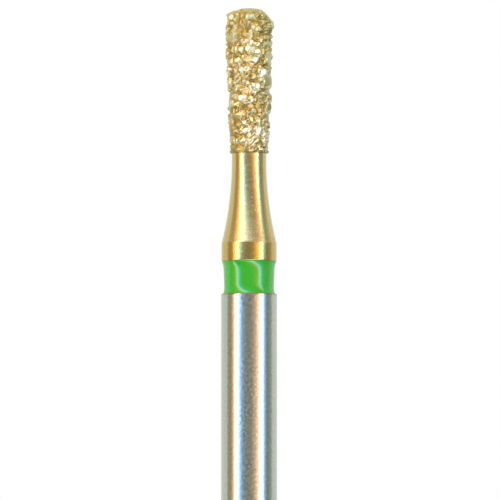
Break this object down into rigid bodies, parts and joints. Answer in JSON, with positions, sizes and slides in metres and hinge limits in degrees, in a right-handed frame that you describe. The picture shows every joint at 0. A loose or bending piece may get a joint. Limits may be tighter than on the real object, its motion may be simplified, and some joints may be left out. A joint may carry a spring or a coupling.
{
  "type": "dental bur",
  "caption": "Friction-grip dental bur: straight round shank, green colour ring in a groove, flared gold-coloured neck and a long tapered head with a rounded tip, covered in coarse diamond grit.",
  "frame": {"origin": "centre of the shank's flat end face", "axes": "+Z along the bur's axis, from the shank's end to the head's tip; X and Y are square to it"},
  "size_m": [0.0016, 0.0016, 0.019],
  "materials": {
    "stainless_steel": "centreless ground, fine marks round the shank",
    "gold_plating": "gold-coloured plating, satin over fine turning marks",
    "green_lacquer": "glossy green lacquer",
    "plated_grit": "coarse diamond grit under gold-coloured plating"
  },
  "bodies": {
    "root": {"blank": "stainless_steel", "neck_plating": "gold_plating", "colour_ring": "green_lacquer", "diamond_coating": "plated_grit"}
  },
  "joints": []
}
